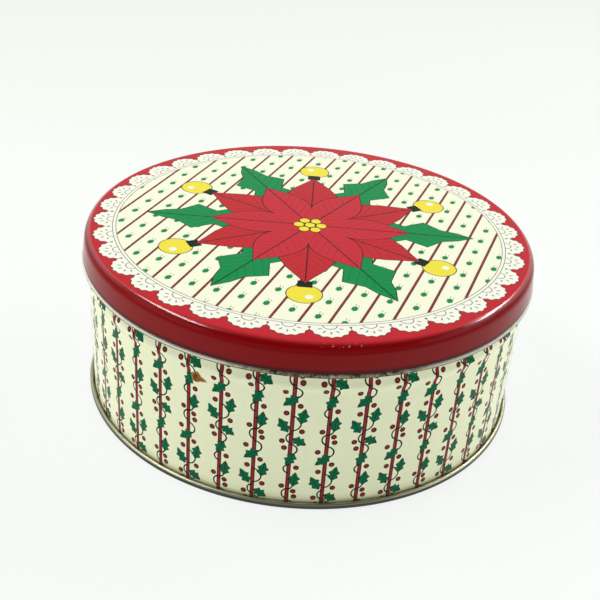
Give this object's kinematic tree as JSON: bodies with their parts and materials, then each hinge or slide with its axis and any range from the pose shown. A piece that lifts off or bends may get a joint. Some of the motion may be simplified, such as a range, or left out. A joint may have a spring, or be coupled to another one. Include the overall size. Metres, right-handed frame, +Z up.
{
  "type": "round biscuit tin",
  "caption": "Round printed biscuit tin with a slip-on lid, a ridged and beaded body wall and a double-seamed recessed base.",
  "frame": {"origin": "centre of the resting plane under the base seam", "axes": "+Z up along the axis of the tin, -Y towards the viewer of the picture, +X to the viewer's right"},
  "size_m": [0.2036, 0.2036, 0.078],
  "materials": {
    "lid_enamel": "glossy printed enamel",
    "wall_print": "glossy printed enamel",
    "tinplate": "bare tinplate"
  },
  "bodies": {
    "tin_body": {"body_wall": "wall_print", "base": "tinplate"},
    "lid": {"lid": "lid_enamel"}
  },
  "joints": [
    {"name": "lid_lift", "type": "slide", "parent": "tin_body", "child": "lid", "axis": [0, 0, 1], "range_m": [0, 0.1]}
  ]
}
